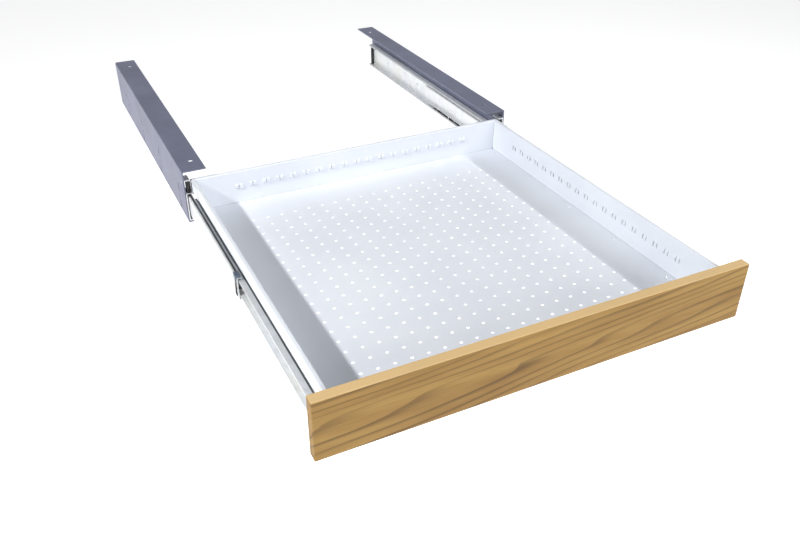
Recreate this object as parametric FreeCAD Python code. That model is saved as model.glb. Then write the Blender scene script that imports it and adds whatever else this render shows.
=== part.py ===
"""Drawer on a pair of full-extension ball-bearing slides, hung from two sheet-steel brackets.

Frame, in millimetres: +X to the right, +Y to the back (the way the drawer closes), +Z up.
The origin is the centre of the four bench bolts, on the brackets' top faces.
The drawer is drawn pulled fully out. The left half is built and the right half mirrored.
"""
import FreeCAD, Part
import math
import os

V = FreeCAD.Vector

# ---------------------------------------------------------------- overall sizes
TRAVEL = 610.0          # full extension of the slides
TRAY_W = 596.0          # inside the tray, wall to wall
TRAY_H = 60.0           # floor to top of rim
FRONT_H = 91.0          # wooden front
FRONT_T = 16.0
FRONT_OVER = 8.8        # how far it reaches past each bracket
PITCH = 25.0            # spacing of the wall's bridge pairs and of the floor holes

# ---------------------------------------------------------------- clearances
BENCH_GAP = 5.0         # bench underside to the top of the wooden front
RIM_BELOW_FRONT = 13.0  # top of the wooden front to the tray's rim
FOLD_GAP = 1.0          # tray's folded rim to the top of the slides
FRONT_GAP = 2.0         # wooden front to the brackets, drawer shut
RUN = 0.05              # radial clearance of a running pin or ball
SEAT = 0.02             # radial clearance of a screw in its thread
FLANGE_GAP = 0.6        # slide to the bracket's lower flange
PASS = 0.3              # a screw through a plain hole, all round

# ---------------------------------------------------------------- tray
SHEET = 1.2
BEND_R = 1.0
RIM_W = 6.8
RIM_DROP = 22.0
BRIDGE_W = 5.6          # pressed-in bridges that hold dividers, two side by side
BRIDGE_H = 9.0
BRIDGE_RISE = 2.2
BRIDGE_TWIN = 7.3       # between the centres of a pair
BRIDGE_BELOW_RIM = 28.5
ROW_FROM_BACK = 75.0    # nearest bridge pair of a side wall to the back, and to the front
ROW_FROM_SIDE = 70.0    # the same for the back wall and the side walls
FLOOR_HOLE_R = 2.5
HOOK_R = 7.0            # half-round hooks cut in the floor along the side walls
HOOK_W = 1.2
HOOK_IN = 4.0           # centre of a hook from the wall
HOOK_EVERY = 5 * PITCH
HOOK_PAST = 60.0        # how far the hooks may go on past the row of bridges
CORNER_T = 1.4          # cover plates over the rim's rear corners
CORNER_L = 44.0
CORNER_H = 20.4
SCREWS = 6              # of the wooden front
SCREW_FROM_SIDE = 48.0
SCREW_R = 1.9
SCREW_DEPTH = 12.0
EASED = 1.5             # rounding of the wooden front's edges

# ---------------------------------------------------------------- slides
SLIDE_H = 53.0
SLIDE_T = 19.0
SLIDE_L = TRAVEL
MIDDLE_SHORT = 22.5     # middle members stop this far behind half the travel
STEEL = 1.8             # thickness of the three members
BALL_OUT_R = 2.5
BALL_IN_R = 2.0
CAGE_T = 0.7
CAGE_OUT_L = 0.43 * SLIDE_L
CAGE_IN_L = 0.39 * SLIDE_L
CAGE_OUT_FROM_END = 6.0     # from the front end of the member around it, drawer out
CAGE_IN_FROM_END = 36.0
BALL_STEP = 26.0
BUMPER_L = 4.5
PROFILE_R = 0.8         # inner bend radius of the slide sections
CABINET_EDGE = 13.4     # how far each section's flange reaches across the slide
MIDDLE_EDGE = 11.6
DRAWER_EDGE = 6.6
FIX_R = 2.5             # screws and studs that hold the slides
FIX_HEAD_R = 4.5
STUD_HEAD_R = 4.0
NUT_AF = 8.0
NUT_H = 4.0
NUT_FLANGE = (5.5, 0.8)

# ---------------------------------------------------------------- release lever and end clip
CLIP_L = 12.0
LEVER_FROM_END = 5.5    # its rivet, from the middle member's front end
LEVER_BELOW = 7.2       # its rivet, below the middle member's flange
LEVER_EYE_R = 3.6
LEVER_T = 1.3
LEVER_U = 2.15
RIVET_R = 1.5

# ---------------------------------------------------------------- brackets
BRACKET_L = TRAVEL + 15.0
BRACKET_T = 2.0
TOP_FLANGE = 42.0
LOW_FLANGE = 11.0
BOLT_R = 4.5
BOLT_IN = 25.2          # bench bolts from the bracket's web
BOLT_FROM_END = 40.0
WEB_SLOT = (4.0, 16.0)
SLOT_ABOVE = 20.0       # slots in the web, above and below each screw
SLOT_UNDER = 15.0
TAB_T = 1.5
TAB_L = 22.0
TAB_W = 10.0
TAB_RIVET_R = 2.0
BUFFER = (2.7, 13.6, 1.6)   # from the web, length, and how far it stands in front

# ---------------------------------------------------------------- places that follow
Y_BRACKET = -BRACKET_L / 2
Y_TRAY = Y_BRACKET - FRONT_GAP - TRAVEL         # tray's folded front rim meets the wood
Y_FRONT = Y_TRAY - FRONT_T
Y_FLOOR = Y_TRAY + RIM_W                        # inside of the tray's front wall
Y_BACK = Y_BRACKET                              # inside of its back wall
TRAY_D = Y_BACK - Y_FLOOR
Z_FRONT = -BENCH_GAP
Z_RIM = Z_FRONT - RIM_BELOW_FRONT
Z_FLOOR = Z_RIM - TRAY_H
Z_SLIDE = Z_RIM - RIM_DROP - FOLD_GAP - SLIDE_H / 2    # centre line of the slides
X_WALL = TRAY_W / 2
X_DRAWER_SIDE = X_WALL + SHEET                  # where the drawer members are fixed
X_CABINET = X_DRAWER_SIDE + SLIDE_T             # where the cabinet members are fixed
X_BRACKET = X_CABINET + BRACKET_T
BRACKET_H = SLIDE_H / 2 - Z_SLIDE + FLANGE_GAP + BRACKET_T
X_BOLT = X_BRACKET - BOLT_IN
Y_BOLT = BRACKET_L / 2 - BOLT_FROM_END
FRONT_W = 2 * (X_BRACKET + FRONT_OVER)
Y_MIDDLE = Y_BRACKET - TRAVEL / 2 + MIDDLE_SHORT    # front end of the middle members
Y_DRAWER = Y_BRACKET - TRAVEL                   # front end of the drawer members
Y_LEVER = Y_MIDDLE + LEVER_FROM_END
Z_BRIDGE = Z_RIM - BRIDGE_BELOW_RIM
Z_SCREW = Z_RIM - RIM_DROP / 2
SIDE_COUNT = int((TRAY_D - 2 * ROW_FROM_BACK) / PITCH) + 1
BACK_COUNT = int((TRAY_W - 2 * ROW_FROM_SIDE) / PITCH) + 1
HOOK_COUNT = int((PITCH * (SIDE_COUNT - 1) + HOOK_PAST) / HOOK_EVERY) + 1
SIDE_ROW = [Y_BACK - ROW_FROM_BACK - PITCH * i for i in range(SIDE_COUNT)]
BACK_ROW = [PITCH * (i - (BACK_COUNT - 1) / 2) for i in range(BACK_COUNT)]
HOOKS = [SIDE_ROW[-1] + HOOK_EVERY * i for i in range(HOOK_COUNT)]
SCREW_STEP = (TRAY_W - 2 * SCREW_FROM_SIDE) / (SCREWS - 1)
SCREW_X = [SCREW_STEP * (i - (SCREWS - 1) / 2) for i in range(SCREWS)]

# slide section: u runs across from the bracket to the drawer, v up from the centre line
V_CABINET = SLIDE_H / 2 - STEEL / 2
V_BALL_OUT = SLIDE_H / 2 - STEEL - RUN - BALL_OUT_R
V_MIDDLE = V_BALL_OUT - BALL_OUT_R - RUN - STEEL / 2
V_BALL_IN = V_MIDDLE - STEEL / 2 - RUN - BALL_IN_R
V_DRAWER = V_BALL_IN - BALL_IN_R - RUN - STEEL / 2
U_MIDDLE = 4.5
U_BALL_OUT = 8.2
U_BALL_IN = 7.8
U_CAGE_OUT = (STEEL + U_MIDDLE - STEEL / 2) / 2
U_CAGE_IN = 5.95
LEVER_V = V_MIDDLE - LEVER_BELOW

# fixings along each slide, from its front end
CABINET_FIX = [48.0 + (SLIDE_L - 130.0) * i / 3 for i in range(4)]
DRAWER_FIX = [60.0 + (SLIDE_L - 110.0) * i / 4 for i in range(5)]
Z_TAB = Z_RIM + 1.0
TAB_RIVET = (Y_BRACKET + 14.0, Z_RIM - 6.0)


# ---------------------------------------------------------------- helpers
def box(x, y, z):
    """Box between the low and high values given for each axis."""
    return Part.makeBox(x[1] - x[0], y[1] - y[0], z[1] - z[0], V(x[0], y[0], z[0]))


def rod(radius, start, end):
    """Cylinder between two points."""
    span = V(*end) - V(*start)
    return Part.makeCylinder(radius, span.Length, V(*start), span)


def cone(r1, r2, start, end):
    span = V(*end) - V(*start)
    return Part.makeCone(r1, r2, span.Length, V(*start), span)


def hexagon(across_flats, start, end):
    """Hexagonal prism along X."""
    radius = across_flats / math.sqrt(3)
    ring = [V(start[0], start[1] + radius * math.cos(math.radians(60 * i)),
              start[2] + radius * math.sin(math.radians(60 * i))) for i in range(7)]
    return Part.Face(Part.makePolygon(ring)).extrude(V(end - start[0], 0, 0))


def offset_corners(points, distance):
    """Corners of a line moved sideways by a distance, to its left when positive."""
    out = []
    for i, p in enumerate(points):
        normals = []
        for a, b in ((i - 1, i), (i, i + 1)):
            if 0 <= a and b < len(points):
                d = (points[b] - points[a]).normalize()
                normals.append(V(-d.y, d.x, 0))
        if len(normals) == 2:
            middle = (normals[0] + normals[1]).normalize()
            out.append(p + middle * (distance / middle.dot(normals[0])))
        else:
            out.append(p + normals[0] * distance)
    return out


def rounded(points, radii):
    """Edges of an open line whose inner corners are rounded by the given radii."""
    edges, start = [], points[0]
    for i in range(1, len(points) - 1):
        a = (points[i - 1] - points[i]).normalize()
        b = (points[i + 1] - points[i]).normalize()
        half = a.getAngle(b) / 2
        run = radii[i] / math.tan(half)
        p, q = points[i] + a * run, points[i] + b * run
        axis = (a + b).normalize()
        top = points[i] + axis * (radii[i] / math.sin(half) - radii[i])
        edges += [Part.makeLine(start, p), Part.Arc(p, top, q).toShape()]
        start = q
    return edges + [Part.makeLine(start, points[-1])]


def bent_sheet(corners, thickness, inner_radius):
    """Face of a folded sheet: a line of constant thickness with rounded bends."""
    line = [V(a, b, 0) for a, b in corners]
    sides = []
    for sign in (1, -1):
        radii = [0.0] * len(line)
        for i in range(1, len(line) - 1):
            turn = (line[i] - line[i - 1]).cross(line[i + 1] - line[i]).z * sign
            radii[i] = inner_radius if turn > 0 else inner_radius + thickness
        sides.append((offset_corners(line, sign * thickness / 2), radii))
    left, right = sides
    edges = rounded(*left)
    edges.append(Part.makeLine(left[0][-1], right[0][-1]))
    edges += rounded(*right)
    edges.append(Part.makeLine(right[0][0], left[0][0]))
    return Part.Face(Part.Wire(Part.__sortEdges__(edges)))


def slide_section(face, y0, y1):
    """Extrude a face drawn in (u, v) along the left slide, between two Y values."""
    solid = face.extrude(V(0, 0, -(y1 - y0)))
    solid.rotate(V(0, 0, 0), V(1, 0, 0), 90)
    solid.translate(V(-X_CABINET, y0, Z_SLIDE))
    return solid


def up(u, y, v):
    """Point of the left slide from its section coordinates."""
    return (-X_CABINET + u, y, Z_SLIDE + v)


def section_box(u, y, v):
    """Box on the left slide, between two values of u, Y and v."""
    return box([-X_CABINET + a for a in u], y, [Z_SLIDE + a for a in v])


def save(name, shape):
    """Write one node; loose pieces in a node stay separate solids."""
    solids = shape.Solids
    out = solids[0] if len(solids) == 1 else Part.Compound(solids)
    out.exportStep("parts/%s.step" % name)


def save_pair(name, shape):
    """Write a left-hand node and its mirror image."""
    save(name + "_left", shape)
    save(name + "_right", shape.mirror(V(0, 0, 0), V(1, 0, 0)))


# ---------------------------------------------------------------- drawer
def bridge():
    """One pressed-in bridge at the origin: ends in the wall's plane, rising towards +X."""
    h, out = BRIDGE_H / 2, BRIDGE_RISE
    face = bent_sheet([(0, -h - 1), (0, -h), (out, out - h), (out, h - out), (0, h), (0, h + 1)], SHEET, 0.5)
    solid = face.extrude(V(0, 0, BRIDGE_W))
    solid.rotate(V(0, 0, 0), V(1, 0, 0), 90)
    solid.translate(V(0, BRIDGE_W / 2, 0))
    return solid


def at_every_bridge(shape):
    """Copies of a shape drawn at the origin, set at each bridge of the three walls, facing inwards."""
    copies, middle = [], X_WALL + SHEET / 2
    for shift in (-BRIDGE_TWIN / 2, BRIDGE_TWIN / 2):
        for y in SIDE_ROW:
            for turn, x in ((0, -middle), (180, middle)):
                copies.append((turn, V(x, y + shift, Z_BRIDGE)))
        for x in BACK_ROW:
            copies.append((-90, V(x + shift, Y_BACK + SHEET / 2, Z_BRIDGE)))
    made = []
    for turn, place in copies:
        one = shape.copy()
        one.rotate(V(0, 0, 0), V(0, 0, 1), turn)
        one.translate(place)
        made.append(one)
    return made


def tray_walls():
    """Four walls with outward folded rims, mitred at the corners."""
    half = SHEET / 2
    profile = bent_sheet([(half, Z_FLOOR - SHEET), (half, Z_RIM - half), (RIM_W - half, Z_RIM - half),
                          (RIM_W - half, Z_RIM - RIM_DROP)], SHEET, BEND_R)
    mid_y, past = (Y_FLOOR + Y_BACK) / 2, RIM_W + 2
    walls = []
    for angle, reach, length in ((0, TRAY_D / 2, TRAY_W), (90, TRAY_W / 2, TRAY_D),
                                 (180, TRAY_D / 2, TRAY_W), (270, TRAY_W / 2, TRAY_D)):
        whole = length / 2 + RIM_W
        wall = profile.extrude(V(0, 0, 2 * whole))
        wall.rotate(V(0, 0, 0), V(1, 1, 1), 120)
        wall.translate(V(-whole, 0, 0))
        wall.translate(V(0, reach, 0))
        ring = [V(end * (length / 2 + d), reach + d, 0)
                for end, d in ((-1, -past), (-1, past), (1, past), (1, -past), (-1, -past))]
        wedge = Part.Face(Part.makePolygon(ring)).extrude(V(0, 0, Z_FLOOR - past))
        wall = wall.common(wedge)
        wall.rotate(V(0, 0, 0), V(0, 0, 1), -angle)
        wall.translate(V(0, mid_y, 0))
        walls.append(wall)
    return walls


def hook_wire(y, side):
    """Half-round slit in the floor, open towards the side wall."""
    r, w = HOOK_R, HOOK_W
    x = side * (X_WALL - HOOK_IN)
    tip = V(x - side * r, y, Z_FLOOR)
    inner = V(x - side * (r - w), y, Z_FLOOR)
    edges = [Part.Arc(V(x, y - r, Z_FLOOR), tip, V(x, y + r, Z_FLOOR)).toShape(),
             Part.makeLine(V(x, y + r, Z_FLOOR), V(x, y + r - w, Z_FLOOR)),
             Part.Arc(V(x, y + r - w, Z_FLOOR), inner, V(x, y - r + w, Z_FLOOR)).toShape(),
             Part.makeLine(V(x, y - r + w, Z_FLOOR), V(x, y - r, Z_FLOOR))]
    return Part.Wire(Part.__sortEdges__(edges))


def tray_floor():
    """Floor sheet with its grid of round holes and the hooks along the walls."""
    outline = [V(x, y, Z_FLOOR) for x, y in ((-X_WALL, Y_FLOOR), (X_WALL, Y_FLOOR),
                                             (X_WALL, Y_BACK), (-X_WALL, Y_BACK), (-X_WALL, Y_FLOOR))]
    wires = [Part.makePolygon(outline)]
    for x in BACK_ROW:
        for y in SIDE_ROW:
            wires.append(Part.Wire(Part.makeCircle(FLOOR_HOLE_R, V(x, y, Z_FLOOR))))
    wires += [hook_wire(y, side) for y in HOOKS for side in (-1, 1)]
    return Part.makeFace(wires, "Part::FaceMakerBullseye").extrude(V(0, 0, -SHEET))


def tray():
    """The drawer tray: floor and walls in one sheet, with its bridges, hooks and holes."""
    walls = tray_walls()
    body = walls[0].fuse(walls[1:] + [tray_floor()]).removeSplitter()
    cutters = at_every_bridge(box((-2, 2), (-BRIDGE_W / 2, BRIDGE_W / 2), (-BRIDGE_H / 2, BRIDGE_H / 2)))
    for x in SCREW_X:
        cutters.append(rod(SCREW_R + PASS, (x, Y_TRAY - 1, Z_SCREW), (x, Y_FLOOR + 1, Z_SCREW)))
    for y in DRAWER_FIX:
        for side in (-1, 1):
            cutters.append(rod(STUD_HEAD_R, (side * (X_WALL - 1), Y_DRAWER + y, Z_SLIDE),
                               (side * (X_DRAWER_SIDE + 1), Y_DRAWER + y, Z_SLIDE)))
    return body.cut(Part.Compound(cutters)).fuse(at_every_bridge(bridge())).removeSplitter()


def front_panel():
    """Solid wood board with eased edges and blind pilot holes."""
    board = box((-FRONT_W / 2, FRONT_W / 2), (Y_FRONT, Y_TRAY), (Z_FRONT - FRONT_H, Z_FRONT))
    board = board.makeFillet(EASED, board.Edges)
    holes = [rod(SCREW_R + SEAT, (x, Y_TRAY - SCREW_DEPTH - PASS, Z_SCREW), (x, Y_TRAY + 1, Z_SCREW))
             for x in SCREW_X]
    return board.cut(Part.Compound(holes))


def front_screws():
    """Pan-head screws through the tray's front wall into the wood."""
    screws = []
    for x in SCREW_X:
        shank = rod(SCREW_R, (x, Y_TRAY - SCREW_DEPTH, Z_SCREW), (x, Y_FLOOR, Z_SCREW))
        head = cone(3.9, 3.1, (x, Y_FLOOR, Z_SCREW), (x, Y_FLOOR + 2.2, Z_SCREW))
        cross = [box((x - a, x + a), (Y_FLOOR + 1.0, Y_FLOOR + 3), (Z_SCREW - b, Z_SCREW + b))
                 for a, b in ((0.6, 2.1), (2.1, 0.6))]
        screws.append(shank.fuse(head).cut(cross).removeSplitter())
    return Part.Compound(screws)


def corner_plate():
    """Cover plate welded over the folded rim at the tray's rear corner."""
    x, y = -(X_WALL + RIM_W), Y_BACK + RIM_W
    z = (Z_RIM - BEND_R - CORNER_H, Z_RIM - BEND_R)
    side = box((x - CORNER_T, x), (y - CORNER_L, y + CORNER_T), z)
    back = box((x - CORNER_T, x + CORNER_L), (y, y + CORNER_T), z)
    return side.fuse(back).removeSplitter()


# ---------------------------------------------------------------- slides
def channel(v, web, edge, lip):
    """Half-open section: a web at one u and two flanges that reach an edge, with bent-in lips."""
    if not lip:
        return bent_sheet([(edge, v), (web, v), (web, -v), (edge, -v)], STEEL, PROFILE_R)
    return bent_sheet([(edge, v - lip), (edge - lip, v), (web, v),
                       (web, -v), (edge - lip, -v), (edge, lip - v)], STEEL, PROFILE_R)


def cabinet_member():
    """Outer channel, fixed to the bracket; countersunk for its screws."""
    face = channel(V_CABINET, STEEL / 2, CABINET_EDGE, 2.4)
    body = slide_section(face, Y_BRACKET, Y_BRACKET + SLIDE_L + PASS + BUMPER_L)
    sinks = [cone(FIX_R + 0.1, FIX_HEAD_R + 0.1, up(0, Y_BRACKET + y, 0), up(STEEL, Y_BRACKET + y, 0))
             for y in CABINET_FIX]
    return body.cut(Part.Compound(sinks))


def middle_member():
    """Middle channel, nested in the outer one; slotted for the release lever."""
    body = slide_section(channel(V_MIDDLE, U_MIDDLE, MIDDLE_EDGE, 2.2), Y_MIDDLE,
                         Y_MIDDLE + SLIDE_L - MIDDLE_SHORT)
    window = section_box((3, 6), (Y_LEVER - 3, Y_LEVER + 8), (-5.5, 1.5))
    eye = rod(RIVET_R + RUN, up(3, Y_LEVER, LEVER_V), up(6, Y_LEVER, LEVER_V))
    return body.cut([window, eye])


def drawer_member():
    """Inner channel, fixed to the tray's side."""
    face = channel(V_DRAWER, SLIDE_T - STEEL / 2, DRAWER_EDGE, 0)
    body = slide_section(face, Y_DRAWER, Y_DRAWER + SLIDE_L)
    holes = [rod(FIX_R + 0.2, up(SLIDE_T - 3, Y_DRAWER + y, 0), up(SLIDE_T + 1, Y_DRAWER + y, 0))
             for y in DRAWER_FIX]
    return body.cut(Part.Compound(holes))


def ball_places(first, count, v):
    return [(first + BALL_STEP * i, sign * v) for i in range(count) for sign in (1, -1)]


def ball_cage(u_web, u_edge, u_ball, v, ball_r, y0, length):
    """Channel-shaped strip with a pocket for each ball, and the balls themselves."""
    outline = [(u_edge, v), (u_web, v), (u_web, -v), (u_edge, -v)]
    strip = slide_section(bent_sheet(outline, CAGE_T, 0.4), y0, y0 + length)
    count = int((length - 16) / BALL_STEP) + 1
    first = y0 + (length - BALL_STEP * (count - 1)) / 2
    pockets, balls = [], []
    for y, height in ball_places(first, count, v):
        low, high = up(u_ball, y, height - 2), up(u_ball, y, height + 2)
        pockets.append(rod(ball_r + RUN, low, high))
        balls.append(Part.makeSphere(ball_r, V(*up(u_ball, y, height))))
    return strip.cut(Part.Compound(pockets)), Part.Compound(balls)


def cabinet_screws():
    """Countersunk screws through the outer member into the bracket."""
    screws = []
    for at in (Y_BRACKET + y for y in CABINET_FIX):
        head = cone(FIX_R, FIX_HEAD_R, up(0, at, 0), up(STEEL, at, 0))
        shank = rod(FIX_R, up(0.5 - BRACKET_T, at, 0), up(0, at, 0))
        socket = hexagon(3.0, up(0.6, at, 0), -X_CABINET + STEEL + 1)
        screws.append(head.fuse(shank).removeSplitter().cut(socket))
    return Part.Compound(screws)


def wall_studs():
    """Press-in studs flush in the tray wall, reaching into the drawer member."""
    studs = []
    for at in (Y_DRAWER + y for y in DRAWER_FIX):
        head = rod(STUD_HEAD_R - SEAT, up(SLIDE_T, at, 0), up(SLIDE_T + SHEET, at, 0))
        shank = rod(FIX_R, up(SLIDE_T - STEEL - NUT_H - 0.7, at, 0), up(SLIDE_T, at, 0))
        studs.append(head.fuse(shank).removeSplitter())
    return Part.Compound(studs)


def wall_nuts():
    """Flange nuts inside the drawer member."""
    seat, (flange_r, flange_t) = SLIDE_T - STEEL, NUT_FLANGE
    nuts = []
    for at in (Y_DRAWER + y for y in DRAWER_FIX):
        body = hexagon(NUT_AF, up(seat - NUT_H, at, 0), -X_CABINET + seat - flange_t)
        body = body.fuse(rod(flange_r, up(seat - flange_t, at, 0), up(seat, at, 0))).removeSplitter()
        nuts.append(body.cut(rod(FIX_R + SEAT, up(seat - NUT_H - 1, at, 0), up(seat + 1, at, 0))))
    return Part.Compound(nuts)


def end_clip():
    """Cast clip hooked over the upper front corner of the middle member."""
    low, high = V_MIDDLE + STEEL / 2 + SEAT, V_CABINET - STEEL / 2 - 0.7
    y = (Y_MIDDLE, Y_MIDDLE + CLIP_L)
    plate = section_box((LEVER_U, U_MIDDLE - STEEL / 2), y, (LEVER_V + LEVER_EYE_R + 0.5, high))
    block = section_box((LEVER_U, 10.2), y, (low, high))
    return plate.fuse(block).removeSplitter()


def lever_rivet():
    """Shouldered rivet that the release lever turns on."""
    head = rod(2.6, up(LEVER_U - 0.3, Y_LEVER, LEVER_V), up(LEVER_U - RUN, Y_LEVER, LEVER_V))
    pin = rod(RIVET_R, up(LEVER_U - RUN, Y_LEVER, LEVER_V), up(U_MIDDLE + STEEL / 2, Y_LEVER, LEVER_V))
    return head.fuse(pin).removeSplitter()


def release_lever():
    """Flat lever hanging from its rivet, with a tongue through the middle member."""
    y, low, high = Y_LEVER, LEVER_U, LEVER_U + LEVER_T
    eye = rod(LEVER_EYE_R, up(low, y, LEVER_V), up(high, y, LEVER_V))
    ring = [up(low, y - 2.4, LEVER_V), up(low, y + 2.4, LEVER_V), up(low, y + 3.2, -7.0),
            up(low, y - 1.2, -7.0), up(low, y - 2.4, LEVER_V)]
    arm = Part.Face(Part.makePolygon([V(*p) for p in ring])).extrude(V(LEVER_T, 0, 0))
    tongue = section_box((high - 0.5, 9.5), (y - 0.8, y + 1.6), (-3.5, -0.5))
    hole = rod(RIVET_R + RUN, up(low - 1, y, LEVER_V), up(high + 1, y, LEVER_V))
    return eye.fuse([arm, tongue]).removeSplitter().cut(hole)


def lever_grip():
    """Moulded grip over the end of the release lever."""
    grip = section_box((LEVER_U, LEVER_U + LEVER_T), (Y_LEVER - 2.6, Y_LEVER + 4.6), (-14.0, -7.0))
    return grip.makeFillet(1.4, [e for e in grip.Edges if e.BoundBox.XLength > LEVER_T / 2])


def rear_bumper():
    """Rubber stop in the rear end of the outer member."""
    v = V_CABINET - STEEL / 2 - PROFILE_R
    y = Y_BRACKET + SLIDE_L + PASS
    return section_box((STEEL, 9.0), (y, y + BUMPER_L), (-v, v))


# ---------------------------------------------------------------- brackets
def bracket():
    """Folded channel: web beside the slide, top flange under the bench, short lower flange."""
    half = BRACKET_T / 2
    x = -X_BRACKET + half
    outline = [(x + TOP_FLANGE - half, -half), (x, -half), (x, half - BRACKET_H),
               (x + LOW_FLANGE - half, half - BRACKET_H)]
    body = bent_sheet(outline, BRACKET_T, 1.0).extrude(V(0, 0, -BRACKET_L))
    body.rotate(V(0, 0, 0), V(1, 0, 0), 90)
    body.translate(V(0, Y_BRACKET, 0))
    cutters = []
    for y in (-Y_BOLT, Y_BOLT):
        cutters.append(rod(BOLT_R, (-X_BOLT, y, -BRACKET_T - 1), (-X_BOLT, y, 1)))
    w, h = WEB_SLOT
    half = (h - w) / 2
    for y in (Y_BRACKET + along for along in CABINET_FIX):
        cutters.append(rod(FIX_R + SEAT, up(-BRACKET_T - 1, y, 0), up(1, y, 0)))
        for v in (SLOT_ABOVE, -SLOT_UNDER):
            cutters += [rod(w / 2, up(-BRACKET_T - 1, y, v + end), up(1, y, v + end))
                        for end in (-half, half)]
            cutters.append(section_box((-BRACKET_T - 1, 1), (y - w / 2, y + w / 2), (v - half, v + half)))
    return body.cut(Part.Compound(cutters)).cut(tab_hole())


def buffer_tab():
    """Small angle riveted to the web, over the closing buffer."""
    y = (Y_BRACKET, Y_BRACKET + TAB_L)
    plate = box((-X_CABINET, -X_CABINET + TAB_W), y, (Z_TAB - TAB_T, Z_TAB))
    wall = box((-X_CABINET, -X_CABINET + TAB_T), y, (Z_TAB - 12.0, Z_TAB))
    return plate.fuse(wall).removeSplitter().cut(tab_hole())


def tab_hole():
    y, z = TAB_RIVET
    return rod(TAB_RIVET_R + SEAT, (-X_BRACKET - 1, y, z), (-X_CABINET + TAB_T + 1, y, z))


def tab_rivet():
    """Rivet through the tab and the bracket's web."""
    y, z = TAB_RIVET
    inside = -X_CABINET + TAB_T
    head = cone(3.4, 2.6, (inside, y, z), (inside + 1.1, y, z))
    return rod(TAB_RIVET_R, (-X_BRACKET, y, z), (inside, y, z)).fuse(head).removeSplitter()


def closing_buffer():
    """Rubber block under the tab that the wooden front closes against."""
    off, length, proud = BUFFER
    return box((-X_CABINET + off, -X_CABINET + TAB_W), (Y_BRACKET - proud, Y_BRACKET - proud + length),
               (Z_SLIDE + SLIDE_H / 2 + 0.4, Z_TAB - TAB_T))


def main():
    os.makedirs("parts", exist_ok=True)
    save("tray", tray())
    save("front_panel", front_panel())
    save("front_screws", front_screws())
    save_pair("corner_plate", corner_plate())
    save_pair("cabinet_member", cabinet_member())
    save_pair("middle_member", middle_member())
    save_pair("drawer_member", drawer_member())
    cage, balls = ball_cage(U_CAGE_OUT, 11.4, U_BALL_OUT, V_BALL_OUT, BALL_OUT_R,
                            Y_BRACKET + CAGE_OUT_FROM_END, CAGE_OUT_L)
    save_pair("outer_cage", cage)
    save_pair("outer_balls", balls)
    cage, balls = ball_cage(U_CAGE_IN, 10.2, U_BALL_IN, V_BALL_IN, BALL_IN_R,
                            Y_MIDDLE + CAGE_IN_FROM_END, CAGE_IN_L)
    save_pair("inner_cage", cage)
    save_pair("inner_balls", balls)
    save_pair("cabinet_screws", cabinet_screws())
    save_pair("wall_studs", wall_studs())
    save_pair("wall_nuts", wall_nuts())
    save_pair("end_clip", end_clip())
    save_pair("lever_rivet", lever_rivet())
    save_pair("release_lever", release_lever())
    save_pair("lever_grip", lever_grip())
    save_pair("rear_bumper", rear_bumper())
    save_pair("bracket", bracket())
    save_pair("buffer_tab", buffer_tab())
    save_pair("tab_rivet", tab_rivet())
    save_pair("closing_buffer", closing_buffer())


if __name__ == "__main__":
    main()
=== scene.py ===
"""Looks of a drawer that runs on a pair of telescopic slides, hung from two brackets.

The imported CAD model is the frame. Each sub-assembly is a class that builds its small moulded,
cast and stamped pieces as numpy surfaces and dresses its CAD nodes with a finish.
Lengths in this file are millimetres unless a name says metres; Blender's are metres.
"""
import logging
import math
from dataclasses import dataclass, field
from enum import Enum

import bmesh
import bpy
import numpy as np
from mathutils import Matrix, Vector


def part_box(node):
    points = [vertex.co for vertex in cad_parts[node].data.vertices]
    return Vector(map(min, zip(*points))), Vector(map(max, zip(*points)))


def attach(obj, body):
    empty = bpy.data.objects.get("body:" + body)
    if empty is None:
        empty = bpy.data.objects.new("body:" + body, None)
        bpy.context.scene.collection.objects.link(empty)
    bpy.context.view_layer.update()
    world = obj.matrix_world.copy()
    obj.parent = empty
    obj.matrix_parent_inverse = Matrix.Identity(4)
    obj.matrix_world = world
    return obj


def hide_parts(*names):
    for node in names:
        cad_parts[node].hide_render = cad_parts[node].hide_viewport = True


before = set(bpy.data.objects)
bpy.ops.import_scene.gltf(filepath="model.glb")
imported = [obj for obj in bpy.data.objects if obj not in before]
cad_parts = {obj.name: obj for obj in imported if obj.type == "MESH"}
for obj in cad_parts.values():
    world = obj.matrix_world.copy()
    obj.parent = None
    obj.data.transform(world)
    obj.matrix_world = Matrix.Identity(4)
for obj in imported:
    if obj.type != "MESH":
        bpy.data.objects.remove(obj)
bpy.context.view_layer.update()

MM = 0.001
WELD = 2e-6                 # points closer than this are one, in metres
LOG = logging.getLogger("drawer")


# ---------------------------------------------------------------- colour and nodes
def srgb(hex_code: str) -> tuple[float, float, float, float]:
    """Turns an sRGB hex colour to linear.

    Args:
        hex_code: colour such as "#f0f2f5".

    Returns:
        Linear red, green, blue and an alpha of 1.
    """
    parts = [int(hex_code[i:i + 2], 16) / 255 for i in (1, 3, 5)]
    linear = [c / 12.92 if c <= 0.04045 else ((c + 0.055) / 1.055) ** 2.4 for c in parts]
    return (*linear, 1.0)


def add(tree: bpy.types.NodeTree, kind: str, inputs: dict | None = None,
        **settings: object) -> bpy.types.Node:
    """Adds one node with its settings, values and links.

    Args:
        tree: node tree that gets the node.
        kind: Blender's name of the node type.
        inputs: value or source socket for each input, by name or number.
        settings: the node's own properties.

    Returns:
        The new node.
    """
    node = tree.nodes.new(kind)
    for key, value in settings.items():
        setattr(node, key, value)
    for key, value in (inputs or {}).items():
        if isinstance(value, bpy.types.NodeSocket):
            tree.links.new(value, node.inputs[key])
        else:
            node.inputs[key].default_value = value
    return node


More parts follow.
